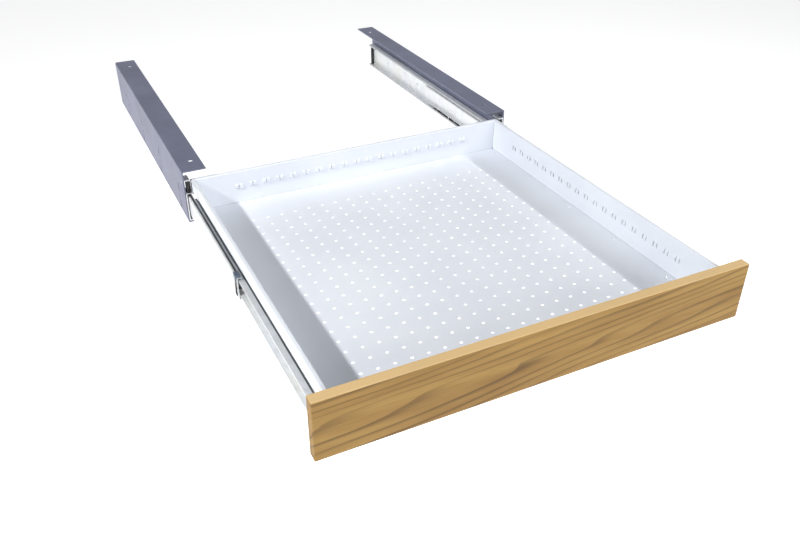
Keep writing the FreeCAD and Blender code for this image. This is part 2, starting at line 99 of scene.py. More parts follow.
def noise(tree: bpy.types.NodeTree, place: bpy.types.NodeSocket, size: float, detail: float = 2.0,
          roughness: float = 0.5, distortion: float = 0.0) -> bpy.types.NodeSocket:
    """Adds soft noise whose grains have a real size.

    Args:
        tree: node tree that gets the node.
        place: coordinates in metres.
        size: size of a grain, in millimetres.
        detail: octaves of finer noise.
        roughness: share that each octave keeps.
        distortion: how far the grains are pulled about.

    Returns:
        Its value, about 0 to 1.
    """
    return add(tree, "ShaderNodeTexNoise", {
        "Vector": place, "Scale": 1 / (size * MM), "Detail": detail, "Roughness": roughness,
        "Distortion": distortion}).outputs["Fac"]


def spread(tree: bpy.types.NodeTree, value: bpy.types.NodeSocket, source: tuple[float, float],
           result: tuple[float, float] = (0.0, 1.0), smooth: bool = False) -> bpy.types.NodeSocket:
    """Carries one range of a value over to another, held at both ends.

    Args:
        tree: node tree that gets the node.
        value: the value to carry over.
        source: the two ends of its own range.
        result: what it becomes at those ends.
        smooth: eases in and out instead of running straight.

    Returns:
        The new value.
    """
    ends = {"Value": value, "From Min": source[0], "From Max": source[1],
            "To Min": result[0], "To Max": result[1]}
    kind = "SMOOTHSTEP" if smooth else "LINEAR"
    return add(tree, "ShaderNodeMapRange", ends, interpolation_type=kind).outputs[0]


def maths(tree: bpy.types.NodeTree, operation: str,
          *values: bpy.types.NodeSocket | float) -> bpy.types.NodeSocket:
    """Adds one sum on numbers.

    Args:
        tree: node tree that gets the node.
        operation: Blender's name of the sum.
        values: its inputs, in order.

    Returns:
        The result.
    """
    return add(tree, "ShaderNodeMath", dict(enumerate(values)), operation=operation).outputs[0]


# a Mix node of colours: its factor, its two colours and its result, by number
MIX_FACTOR, MIX_A, MIX_B, MIX_OUT = 0, 6, 7, 2


def blend(tree: bpy.types.NodeTree, factor: bpy.types.NodeSocket, first: object,
          second: object) -> bpy.types.NodeSocket:
    """Mixes two colours.

    Args:
        tree: node tree that gets the node.
        factor: 0 gives the first colour and 1 the second.
        first: colour or source socket.
        second: colour or source socket.

    Returns:
        The mixed colour.
    """
    return add(tree, "ShaderNodeMix", {MIX_FACTOR: factor, MIX_A: first, MIX_B: second},
               data_type="RGBA").outputs[MIX_OUT]


@dataclass(frozen=True)
class Finish:
    """What every finish has in common: its name and how its surface is laid out."""

    name: str

    def paint(self, tree: bpy.types.NodeTree, place: bpy.types.NodeSocket) -> bpy.types.Node:
        """Builds the finish's own nodes.

        Args:
            tree: the material's node tree.
            place: object coordinates in metres.

        Returns:
            The shader node.
        """
        raise NotImplementedError

    def material(self) -> bpy.types.Material:
        """Makes the Blender material, once for each finish.

        Returns:
            The material, new or already made.
        """
        found = bpy.data.materials.get(self.name)
        if found:
            return found
        made = bpy.data.materials.new(self.name)
        made.use_nodes = True
        tree = made.node_tree
        tree.nodes.clear()
        place = add(tree, "ShaderNodeTexCoord").outputs["Object"]
        shader = self.paint(tree, place)
        add(tree, "ShaderNodeOutputMaterial", {"Surface": shader.outputs[0]})
        return made


def edge_mask(tree: bpy.types.NodeTree, width: float,
              place: bpy.types.NodeSocket) -> bpy.types.NodeSocket:
    """Mask that is 1 along outer and inner edges, broken up as handling breaks it up.

    The normal of a softly rounded copy of the shape is compared with the true one, so the mask
    follows real edges. Patchy noise then thins it.

    Args:
        tree: the material's node tree.
        width: how far the edge reaches, in millimetres.
        place: object coordinates in metres.

    Returns:
        The mask's socket.
    """
    rounded = add(tree, "ShaderNodeBevel", {"Radius": width * MM}, samples=4)
    true = add(tree, "ShaderNodeNewGeometry")
    same = add(tree, "ShaderNodeVectorMath", {0: rounded.outputs[0], 1: true.outputs["Normal"]},
               operation="DOT_PRODUCT")
    edge = spread(tree, same.outputs["Value"], (0.985, 0.8))
    patches = noise(tree, place, 9, detail=3.0)
    broken = spread(tree, patches, (0.38, 0.62), (0.35, 1.0))
    return maths(tree, "MULTIPLY", edge, broken)


# ---------------------------------------------------------------- finishes
@dataclass(frozen=True)
class PowderCoat(Finish):
    """Polyester powder coat on sheet steel, sprayed dry and baked.

    The powder flows out to a soft, slightly pebbled skin, so highlights are broad, the colour
    drifts a little with film thickness, and the film is thin and rubbed along folded edges.
    """

    colour: str = "#e9edf3"
    drift: str = "#e3e7ee"
    rubbed: str = "#cfd3da"
    roughness: float = 0.42
    pebble: float = 2.6         # real flow marks are 1 to 2 mm; drawn coarser so that they show
    pebble_depth: float = 0.035
    crevice: str = "#5d636d"    # painted shade deep in folds, slots and pressings, mixed in by ambient occlusion
    crevice_reach: float = 5.0
    sheen: float = 0.0

    def paint(self, tree: bpy.types.NodeTree, place: bpy.types.NodeSocket) -> bpy.types.Node:
        """Builds film drift, pebbled skin, hand marks, rubbed edges and painted shade in folds and
        pressings.
        """
        cloud = noise(tree, place, 140, detail=3.0)
        film = spread(tree, cloud, (0.35, 0.65))
        body = blend(tree, film, srgb(self.colour), srgb(self.drift))
        edge = edge_mask(tree, 0.9, place)
        worn = blend(tree, edge, body, srgb(self.rubbed))
        # painted shade: ambient occlusion darkens the coat in folds, slots and pressings
        hidden = add(tree, "ShaderNodeAmbientOcclusion", {"Distance": self.crevice_reach * MM},
                     samples=8)
        deep = spread(tree, hidden.outputs["AO"], (0.15, 0.6), (1.0, 0.0))
        dust_and_shade = blend(tree, deep, worn, srgb(self.crevice))
        hands = noise(tree, place, 45, detail=5.0, roughness=0.6, distortion=0.8)
        gloss = spread(tree, hands, (0.3, 0.7), (self.roughness - 0.07, self.roughness + 0.1))
        skin = noise(tree, place, self.pebble, detail=2.0)
        bump = add(tree, "ShaderNodeBump", {"Height": skin, "Strength": 0.5,
                                            "Distance": self.pebble_depth * MM})
        return add(tree, "ShaderNodeBsdfPrincipled", {
            "Base Color": dust_and_shade, "Roughness": gloss, "Normal": bump.outputs[0],
            "IOR": 1.5, "Sheen Weight": self.sheen, "Sheen Roughness": 0.35,
            "Sheen Tint": srgb("#dcdcf0")})


@dataclass(frozen=True)
class OiledBoard(Finish):
    """Flat-sawn hardwood board, planed and oiled.

    A tapering trunk cut lengthwise shows its year rings as long arches and flowing lines. The
    dense late wood is darker, pores show as short dark dashes along the grain, and the oil leaves
    a satin skin.
    """

    centre: tuple[float, float, float] = (0.0, 0.0, 0.0)   # middle of the show face, in metres
    early: str = "#a07e3f"
    late: str = "#563c17"
    honey: str = "#8a672d"
    pore: str = "#5f441b"
    sanded: str = "#e4c48f"     # painted highlight: faces that look up are drawn paler, as if lit from above
    ring: float = 12.5          # mean spacing of the lines on the face
    behind: float = 12.0        # pith behind the show face
    below: float = 62.0         # pith below the middle of the board
    taper: float = 0.085        # how fast the rings run out along the board
    wander: float = 62.0        # how far slow waves carry a line
    flutter: float = 1.8        # how far fine waves do
    handled: str = "#d9b57c"    # edges rubbed by hands

    def paint(self, tree: bpy.types.NodeTree, place: bpy.types.NodeSocket) -> bpy.types.Node:
        """Builds year rings, pores, streaks, the oiled skin and a painted highlight on faces that
        look up.

        The ring number is the distance from the pith line, plus a share of the length for the
        trunk's taper, plus slow waves; its fraction gives the early to late wood ramp.
        """
        local = add(tree, "ShaderNodeMapping",
                    {"Vector": place, "Location": [-c for c in self.centre]})
        stretch = add(tree, "ShaderNodeMapping",
                      {"Vector": local.outputs[0], "Scale": (0.1, 1.0, 1.0)})
        wave = noise(tree, stretch.outputs[0], 52, detail=1.5, roughness=0.45)
        ripple = noise(tree, stretch.outputs[0], 9, detail=3.0, roughness=0.55)
        across = add(tree, "ShaderNodeMapping", {
            "Vector": local.outputs[0], "Scale": (0.0, 1.0, 1.0),
            "Location": (0.0, self.behind * MM, self.below * MM)})
        distance = add(tree, "ShaderNodeVectorMath", {0: across.outputs[0]}, operation="LENGTH")
        axes = add(tree, "ShaderNodeSeparateXYZ", {0: local.outputs[0]})
        run_out = maths(tree, "MULTIPLY_ADD", axes.outputs["X"], -self.taper,
                        distance.outputs["Value"])
        waved = maths(tree, "MULTIPLY_ADD", wave, self.wander * MM, run_out)
        rippled = maths(tree, "MULTIPLY_ADD", ripple, self.flutter * MM, waved)
        number = maths(tree, "MULTIPLY", rippled, 1 / (self.ring * MM))
        part = maths(tree, "FRACT", number)
        swell = spread(tree, part, (0.2, 0.93), smooth=True)
        drop = spread(tree, part, (0.94, 1.0), (1.0, 0.0), smooth=True)
        line = maths(tree, "MULTIPLY", swell, drop)
        sharp = maths(tree, "POWER", line, 3.5)
        patchy = noise(tree, stretch.outputs[0], 30)
        strength = spread(tree, patchy, (0.32, 0.66), (0.25, 0.85))
        ring = maths(tree, "MULTIPLY", sharp, strength)
        fibre_place = add(tree, "ShaderNodeMapping",
                          {"Vector": local.outputs[0], "Scale": (0.03, 1.0, 1.0)})
        fibre = noise(tree, fibre_place.outputs[0], 1.6, detail=4.0, roughness=0.7)
        broad = noise(tree, stretch.outputs[0], 22, detail=2.0)
        tone = spread(tree, broad, (0.35, 0.68))
        ground = blend(tree, tone, srgb(self.early), srgb(self.honey))
        ringed = blend(tree, ring, ground, srgb(self.late))
        streak = spread(tree, fibre, (0.5, 0.78), (0.0, 0.45))
        fibred = blend(tree, streak, ringed, srgb(self.pore))
        edge = edge_mask(tree, 1.2, place)
        soft_edge = maths(tree, "MULTIPLY", edge, 0.45)
        worn = blend(tree, soft_edge, fibred, srgb(self.handled))
        # painted highlight: the paler colour grows with how far the face looks up
        facing = add(tree, "ShaderNodeSeparateXYZ",
                     {0: add(tree, "ShaderNodeNewGeometry").outputs["Normal"]})
        top = spread(tree, facing.outputs["Z"], (0.2, 0.85), (0.0, 0.8))
        pale = blend(tree, top, worn, srgb(self.sanded))
        gloss = spread(tree, fibre, (0.3, 0.75), (0.5, 0.68))
        relief = maths(tree, "MULTIPLY_ADD", fibre, 0.6, ring)
        bump = add(tree, "ShaderNodeBump",
                   {"Height": relief, "Strength": 0.35, "Distance": 0.12 * MM})
        return add(tree, "ShaderNodeBsdfPrincipled", {
            "Base Color": pale, "Roughness": gloss, "Normal": bump.outputs[0], "IOR": 1.42})


@dataclass(frozen=True)
class DrawnZinc(Finish):
    """Cold-rolled steel strip, roll-formed and zinc plated.

    Rolling leaves long fine lines, plating a milky spangle and a faint blue and straw tint,
    and the raceways and edges are burnished bright.
    """

    colour: str = "#e6e8ea"
    milky: str = "#d8dbde"
    bright: str = "#f2f3f4"
    straw: str = "#dad9cb"
    metallic: float = 0.28      # the milky plating scatters much of the light
    roughness: float = 0.38
    line: float = 0.8           # real drawing lines are a tenth of this

    def paint(self, tree: bpy.types.NodeTree, place: bpy.types.NodeSocket) -> bpy.types.Node:
        """Builds rolling lines, plating clouds, tint and burnished edges."""
        along = add(tree, "ShaderNodeMapping", {"Vector": place, "Scale": (1.0, 0.012, 1.0)})
        lines = noise(tree, along.outputs[0], self.line, detail=3.0, roughness=0.65)
        cloud = noise(tree, place, 16, detail=4.0)
        veil = spread(tree, cloud, (0.36, 0.66))
        plate = blend(tree, veil, srgb(self.colour), srgb(self.milky))
        stain = noise(tree, place, 60, detail=2.0)
        tint = spread(tree, stain, (0.5, 0.75), (0.0, 0.45))
        tinted = blend(tree, tint, plate, srgb(self.straw))
        edge = edge_mask(tree, 0.5, place)
        worn = blend(tree, edge, tinted, srgb(self.bright))
        # subclasses paint shade over the plated colour here
        shade_painted_plating = self.grease(tree, place, worn)
        gloss = spread(tree, lines, (0.3, 0.7), (self.roughness - 0.08, self.roughness + 0.16))
        bump = add(tree, "ShaderNodeBump",
                   {"Height": lines, "Strength": 0.25, "Distance": 0.04 * MM})
        return add(tree, "ShaderNodeBsdfPrincipled", {
            "Base Color": shade_painted_plating, "Metallic": self.metallic, "Roughness": gloss,
            "Normal": bump.outputs[0]})

    def grease(self, tree: bpy.types.NodeTree, place: bpy.types.NodeSocket,
               plated: bpy.types.NodeSocket) -> bpy.types.NodeSocket:
        """Leaves the plated colour as it is; subclasses paint shade over it.

        Args:
            tree: the material's node tree.
            place: object coordinates in metres.
            plated: colour of the plating before any painted shade.

        Returns:
            The colour to draw.
        """
        return plated


@dataclass(frozen=True)
class GreasedRace(DrawnZinc):
    """Zinc-plated member whose upper race top is drawn near black: painted shade for the dark gap
    under the tray's fold.

    A strip along the side that looks at the bracket is left without painted shade.
    """

    top: float = 0.0            # height of the race, in metres
    outer: float = 0.0          # its outer side, from the middle of the drawer, in metres
    clean: float = 2.6          # width of the strip left without painted shade
    # painted shade: near black for the dark gap under the tray's fold
    film: str = "#1d1f20"

    def grease(self, tree: bpy.types.NodeTree, place: bpy.types.NodeSocket,
               plated: bpy.types.NodeSocket) -> bpy.types.NodeSocket:
        """Paints shade on the top of the race, in from its unshaded strip, with a ragged border."""
        axes = add(tree, "ShaderNodeSeparateXYZ", {0: place})
        along = add(tree, "ShaderNodeMapping", {"Vector": place, "Scale": (1.0, 0.15, 1.0)})
        rag = noise(tree, along.outputs[0], 5, detail=3.0)
        border = maths(tree, "MULTIPLY_ADD", rag, 1.2 * MM, self.outer - (self.clean + 0.6) * MM)
        sideways = maths(tree, "ABSOLUTE", axes.outputs["X"])
        inside = maths(tree, "SUBTRACT", border, sideways)
        across = spread(tree, inside, (0.0, 0.5 * MM))
        high = spread(tree, axes.outputs["Z"], (self.top - 0.6 * MM, self.top - 0.3 * MM),
                      (0.0, 0.94))
        mask = maths(tree, "MULTIPLY", across, high)
        return blend(tree, mask, plated, srgb(self.film))


@dataclass(frozen=True)
class CastZinc(Finish):
    """Die-cast zinc, tumbled: a matt, faintly grainy blue-grey with rubbed corners."""

    colour: str = "#7f8a9b"
    rubbed: str = "#b4bbc4"
    clouded: str = "#66707f"

    def paint(self, tree: bpy.types.NodeTree, place: bpy.types.NodeSocket) -> bpy.types.Node:
        """Builds tumbling grain, cast clouds and rubbed corners."""
        grain = noise(tree, place, 0.7, detail=3.0)
        cloud = noise(tree, place, 5, detail=3.0)
        dark = blend(tree, cloud, srgb(self.clouded), srgb(self.colour))
        worn = blend(tree, edge_mask(tree, 0.4, place), dark, srgb(self.rubbed))
        gloss = spread(tree, grain, (0.0, 1.0), (0.38, 0.62))
        bump = add(tree, "ShaderNodeBump",
                   {"Height": grain, "Strength": 0.4, "Distance": 0.05 * MM})
        return add(tree, "ShaderNodeBsdfPrincipled", {
            "Base Color": worn, "Metallic": 0.85, "Roughness": gloss,
            "Normal": bump.outputs[0]})


@dataclass(frozen=True)
class GreasedSteel(Finish):
    """Hardened chrome steel, lapped to a mirror and filmed with clear grease in smears."""

    colour: str = "#d9dadc"
    smeared: str = "#a9a48f"

    def paint(self, tree: bpy.types.NodeTree, place: bpy.types.NodeSocket) -> bpy.types.Node:
        """Builds a mirror whose gloss changes where the grease lies."""
        smear = noise(tree, place, 2.2, detail=3.0, distortion=1.0)
        film = spread(tree, smear, (0.42, 0.6), (0.06, 0.3))
        tone = blend(tree, film, srgb(self.colour), srgb(self.smeared))
        return add(tree, "ShaderNodeBsdfPrincipled", {
            "Base Color": tone, "Metallic": 1.0, "Roughness": film})


@dataclass(frozen=True)
class Moulded(Finish):
    """Injection-moulded plastic or rubber with a spark-eroded grain.

    The mould's fine pits give a dull, even skin; handled edges turn smoother and paler.
    """

    colour: str = "#17181b"
    rubbed: str = "#3a3c42"
    roughness: float = 0.55
    grain: float = 0.6
    dust: float = 0.25
    dust_colour: str = "#6a6a6c"

    def paint(self, tree: bpy.types.NodeTree, place: bpy.types.NodeSocket) -> bpy.types.Node:
        """Builds mould grain, settled dust and polished edges."""
        pits = add(tree, "ShaderNodeTexVoronoi", {"Vector": place, "Scale": 1 / (self.grain * MM)})
        dust = noise(tree, place, 7, detail=4.0)
        settled = spread(tree, dust, (0.45, 0.75), (0.0, self.dust))
        dust_and_shade = blend(tree, settled, srgb(self.colour), srgb(self.dust_colour))
        worn = blend(tree, edge_mask(tree, 0.4, place), dust_and_shade, srgb(self.rubbed))
        gloss = spread(tree, dust, (0.0, 1.0), (self.roughness - 0.1, self.roughness + 0.12))
        bump = add(tree, "ShaderNodeBump", {"Height": pits.outputs["Distance"], "Strength": 0.35,
                                            "Distance": 0.05 * MM})
        return add(tree, "ShaderNodeBsdfPrincipled", {
            "Base Color": worn, "Roughness": gloss, "Normal": bump.outputs[0],
            "IOR": 1.5})


@dataclass(frozen=True)
class StudioPaper(Finish):
    """Seamless white paper, lit until it is nearly even."""

    colour: str = "#fbfbfb"
    glow: float = 0.74
    clouded: str = "#f6f6f6"

    def paint(self, tree: bpy.types.NodeTree, place: bpy.types.NodeSocket) -> bpy.types.Node:
        """Builds paper with a faint cloud in its tone."""
        cloud = add(tree, "ShaderNodeTexNoise", {"Vector": place, "Scale": 1.2, "Detail": 2.0})
        tone = blend(tree, cloud.outputs["Fac"], srgb(self.colour), srgb(self.clouded))
        return add(tree, "ShaderNodeBsdfPrincipled", {
            "Base Color": tone, "Roughness": 0.9, "Emission Color": srgb(self.colour),
            "Emission Strength": self.glow})


# ---------------------------------------------------------------- surfaces
def swept_rings(outline: np.ndarray, insets: np.ndarray, heights: np.ndarray) -> np.ndarray:
    """One closed outline carried up in rings, each moved inwards by its own inset.

    A point of ring i is the outline's point, less inset i along the outline's outward normal,
    at height i. The normal is the central difference of the outline turned by a quarter.

    Args:
        outline: closed line, counter-clockwise, of shape (points, 2).
        insets: one inset for each ring.
        heights: one height for each ring.

    Returns:
        Array of shape (rings, points, 3).
    """
    tangent = np.roll(outline, -1, axis=0) - np.roll(outline, 1, axis=0)
    normal = np.stack([tangent[:, 1], -tangent[:, 0]], axis=1)
    normal /= np.linalg.norm(normal, axis=1, keepdims=True)
    flat = outline[None] - insets[:, None, None] * normal[None]
    tall = np.broadcast_to(heights[:, None, None], (len(heights), len(outline), 1))
    return np.concatenate([flat, tall], axis=2)


def eased_plate(outline: np.ndarray, low: float, high: float, edge: float,
                steps: int = 4) -> np.ndarray:
    """Plate between two heights whose rims are quarter circles.

    Inset and height both follow a quarter circle of the edge's radius at each rim.

    Args:
        outline: closed line, counter-clockwise, of shape (points, 2).
        low: height of the bottom face.
        high: height of the top face.
        edge: radius of the rims.
        steps: spans in each quarter circle.

    Returns:
        Rings of the shell.
    """
    turn = np.linspace(0.0, math.pi / 2, steps + 1)
    inset = edge * (1 - np.sin(turn))
    rise = edge * (1 - np.cos(turn))
    insets = np.concatenate([inset, inset[::-1]])
    heights = np.concatenate([low + rise, high - rise[::-1]])
    return swept_rings(outline, insets, heights)


def soft_corners(corners: np.ndarray, radius: float, steps: int = 5) -> np.ndarray:
    """Closed polygon whose corners are replaced by short curves.

    Each corner C becomes the curve (1-t)^2 A + 2t(1-t) C + t^2 B, where A and B lie on the two
    sides at the given distance from C.

    Args:
        corners: polygon, counter-clockwise, of shape (corners, 2).
        radius: distance from a corner to where its curve starts.
        steps: spans in each curve.

    Returns:
        The rounded outline, of shape (corners * (steps + 1), 2).
    """
    before = np.roll(corners, 1, axis=0) - corners
    after = np.roll(corners, -1, axis=0) - corners
    a = corners + before / np.linalg.norm(before, axis=1, keepdims=True) * radius
    b = corners + after / np.linalg.norm(after, axis=1, keepdims=True) * radius
    t = np.linspace(0.0, 1.0, steps + 1)[None, :, None]
    curve = (1 - t) ** 2 * a[:, None] + 2 * t * (1 - t) * corners[:, None] + t ** 2 * b[:, None]
    return curve.reshape(-1, 2)


def turned(profile: np.ndarray, around: int = 40) -> np.ndarray:
    """Profile of radius and height spun about the height axis.

    A point is (radius cos a, radius sin a, height) for evenly spaced angles a.

    Args:
        profile: radius and height, from the bottom up, of shape (points, 2).
        around: points in each ring.

    Returns:
        Rings of the shell.
    """
    angle = np.linspace(0.0, 2 * math.pi, around, endpoint=False)
    radius, height = profile[:, 0, None], profile[:, 1, None]
    return np.stack([radius * np.cos(angle), radius * np.sin(angle),
                     np.broadcast_to(height, (len(profile), around))], axis=2)


def moulded_block(size: np.ndarray, radius: float, swell: float = 0.0, ribs: int = 0,
                  rib_depth: float = 0.0, steps: int = 4, spans: int = 12) -> np.ndarray:
    """Block with rounded edges whose sides swell or carry ribs, centred at the origin.

    A point is a corner of the inner block plus the radius times a unit vector that sweeps latitude
    and longitude quadrant by quadrant. Between the two rounded ends the rings run straight up at
    latitude 0.
    The sides are then scaled by 1 less the swell at the ends, and by 1 less a cosine for each rib.

    Args:
        size: full size along the three axes.
        radius: edge radius.
        swell: share by which the ends are narrower than the middle.
        ribs: number of grooves along the height.
        rib_depth: share of the first axis that a groove takes.
        steps: spans in each quarter circle.
        spans: spans along the straight part.

    Returns:
        Rings of the shell.
    """
    half = size / 2
    quarter = np.linspace(0.0, math.pi / 2, steps + 1)
    lat = np.concatenate([quarter - math.pi / 2, np.zeros(spans - 1), quarter])
    core_z = np.concatenate([-np.ones(steps + 1), np.linspace(-1, 1, spans + 1)[1:-1],
                             np.ones(steps + 1)])
    lon = (quarter[None] + np.arange(4)[:, None] * math.pi / 2).ravel()
    core_x = np.repeat([1.0, -1.0, -1.0, 1.0], steps + 1)
    core_y = np.repeat([1.0, 1.0, -1.0, -1.0], steps + 1)
    up = np.sin(lat)[:, None] * np.ones_like(lon)
    x = core_x * (half[0] - radius) + radius * np.cos(lat)[:, None] * np.cos(lon)
    y = core_y * (half[1] - radius) + radius * np.cos(lat)[:, None] * np.sin(lon)
    z = core_z[:, None] * (half[2] - radius) + radius * up
    reach = z / half[2]
    narrow = 1 - swell * reach ** 2
    ribbed = np.abs(core_z[:, None]) < 1
    groove = 1 - rib_depth * (0.5 - 0.5 * np.cos(math.pi * ribs * (reach + 1))) * ribbed
    return np.stack([x * narrow * groove, y * narrow, z], axis=2)


class Side(Enum):
    """Which of the two slides; the value is the sign of its X."""

    LEFT = -1
    RIGHT = 1

    @property
    def word(self) -> str:
        """The end of its node names.

        Returns:
            Either left or right.
        """
        return self.name.lower()

    def node(self, stem: str) -> str:
        """Name of this side's node or body.

        Args:
            stem: the name without its side.

        Returns:
            The whole name.
        """
        return f"{stem}_{self.word}"


@dataclass
class Piece:
    """One new mesh: closed shells of rings, placed in the frame."""

    name: str
    shells: list[np.ndarray]
    finish: Finish
    body: str
    slot: str
    stands_for: tuple[str, ...] = ()
    sharp: float = 38.0         # degrees between faces past which an edge is drawn crisp

    def build(self) -> bpy.types.Object:
        """Makes the object, with its place in its mesh, and ties it to its body.

        Returns:
            The new object.
        """
        points, faces, count = [], [], 0
        for rings in self.shells:
            rows, columns = rings.shape[:2]
            index = np.arange(rows * columns).reshape(rows, columns) + count
            beside = np.roll(index, -1, axis=1)
            quads = np.stack([index[:-1], beside[:-1], beside[1:], index[1:]], axis=2)
            faces += quads.reshape(-1, 4).tolist() + [index[0, ::-1].tolist(), index[-1].tolist()]
            points.append(rings.reshape(-1, 3))
            count += rows * columns
        mesh = bpy.data.meshes.new(self.name)
        mesh.from_pydata((np.concatenate(points)).tolist(), [], faces)
        shape = bmesh.new()
        shape.from_mesh(mesh)
        bmesh.ops.remove_doubles(shape, verts=shape.verts, dist=WELD)
        bmesh.ops.dissolve_degenerate(shape, edges=shape.edges, dist=WELD)
        bmesh.ops.recalc_face_normals(shape, faces=shape.faces)
        shape.to_mesh(mesh)
        shape.free()
        mesh.shade_smooth()
        mesh.set_sharp_from_angle(angle=math.radians(self.sharp))
        mesh.materials.append(self.finish.material())
        made = bpy.data.objects.new(self.name, mesh)
        bpy.context.scene.collection.objects.link(made)
        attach(made, self.body)
        if self.stands_for:
            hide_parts(*self.stands_for)
        LOG.info("built %s: %d faces, rides on %s", self.name, len(mesh.polygons), self.body)
        return made


def dress(node: str, finish: Finish) -> None:
    """Gives a CAD node its finish.

    Args:
        node: name of the node.
        finish: what it is made of and how its surface was made.
    """
    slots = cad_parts[node].data.materials
    slots.clear()
    slots.append(finish.material())
    LOG.info("dressed %s in %s", node, finish.name)


def corners(node: str) -> tuple[np.ndarray, np.ndarray]:
    """Finds the box of a CAD node.

    Args:
        node: name of the node.

    Returns:
        Its lowest and highest corner, in metres.
    """
    low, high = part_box(node)
    return np.array(low), np.array(high)


# ---------------------------------------------------------------- the set of finishes
@dataclass(frozen=True)
class Finishes:
    """Every finish of the drawer, made once and shared."""

    white_coat: PowderCoat = PowderCoat("white_polyester_powder_coat")
    # the slate coat's painted shade in folds is drawn near black
    dark_coat: PowderCoat = PowderCoat(
        "slate_textured_powder_coat", colour="#6a6f83", drift="#5c6072", crevice="#23262f",
        rubbed="#8b8fa0", roughness=0.5, pebble=1.6, pebble_depth=0.06, sheen=0.6)
    zinc_strip: DrawnZinc = DrawnZinc("zinc_plated_rolled_steel")
    zinc_fastener: DrawnZinc = DrawnZinc("bright_zinc_plated_fastener", colour="#cfd2d6",
                                         roughness=0.24, line=0.4)
    lever_steel: DrawnZinc = DrawnZinc("blackened_spring_steel", colour="#3d4046", milky="#303338",
                                       bright="#85888e",
                                       straw="#3c3a35", metallic=0.85, line=0.3)
    zinc_cast: CastZinc = CastZinc("tumbled_die_cast_zinc")
    ball: GreasedSteel = GreasedSteel("greased_chrome_steel")
    cage: Moulded = Moulded("moulded_polyamide_cage", colour="#1d1e22", rubbed="#45474d")
    grip: Moulded = Moulded("moulded_polypropylene_grip", colour="#131417", rubbed="#34363b",
                            grain=0.5)
    rubber: Moulded = Moulded("moulded_nitrile_rubber", colour="#121212", rubbed="#2d2d2d",
                              roughness=0.72,
                              grain=0.9, dust=0.4)


FINISHES = Finishes()


# ---------------------------------------------------------------- sub-assemblies
@dataclass
class Tray:
    """The folded sheet-steel tray with its corner plates and the studs pressed into its walls."""

    nodes: tuple[str, ...] = ("tray", "corner_plate_left", "corner_plate_right",
                              "wall_studs_left", "wall_studs_right")
    fasteners: tuple[str, ...] = ("front_screws", "wall_nuts_left", "wall_nuts_right")

    def dress(self) -> None:
        """Coats the sheet and plates the fasteners."""
        for node in self.nodes:
            dress(node, FINISHES.white_coat)
        for node in self.fasteners:
            dress(node, FINISHES.zinc_fastener)


@dataclass
class WoodenFront:
    """The solid board that closes the drawer."""

    node: str = "front_panel"

    def dress(self) -> None:
        """Lays the grain out from the middle of the show face."""
        low, high = corners(self.node)
        middle = (low + high) / 2
        board = OiledBoard("oiled_flat_sawn_hardwood",
                           centre=(float(middle[0]), float(low[1]), float(middle[2])))
        dress(self.node, board)


@dataclass
class Slide:
    """One telescopic slide: three members, two ball cages and the rubber stop behind."""

    side: Side
    bumper_radius: float = 0.9
    bumper_swell: float = 0.05
    # width of each member's race strip left without painted shade
    clean: tuple[tuple[str, float], ...] = (("middle_member", 2.6), ("drawer_member", 8.4))

    def dress(self) -> None:
        """Plates the members, paints shade on their upper races and fits out the cages and balls.
        """
        dress(self.side.node("cabinet_member"), FINISHES.zinc_strip)
        for stem, clean in self.clean:
            node = self.side.node(stem)
            low, high = corners(node)
            # painted shade: the race tops are drawn near black where the gap under the fold lies in
            # shade
            dress(node, GreasedRace(f"greased_zinc_{stem}", top=float(high[2]), clean=clean,
                                    outer=float(max(-low[0], high[0]))))
        for stem in ("outer_cage", "inner_cage"):
            dress(self.side.node(stem), FINISHES.cage)
        for stem in ("outer_balls", "inner_balls"):
            dress(self.side.node(stem), FINISHES.ball)
        dress(self.side.node("cabinet_screws"), FINISHES.zinc_fastener)

    def build(self) -> None:
        """Moulds the rear stop."""
        node = self.side.node("rear_bumper")
        low, high = corners(node)
        block = moulded_block(high - low, self.bumper_radius * MM, swell=self.bumper_swell)
        Piece(self.side.node("rear_stop"), [block + (low + high) / 2], FINISHES.rubber,
              "bench_side",
              "black_rubber", (node,)).build()


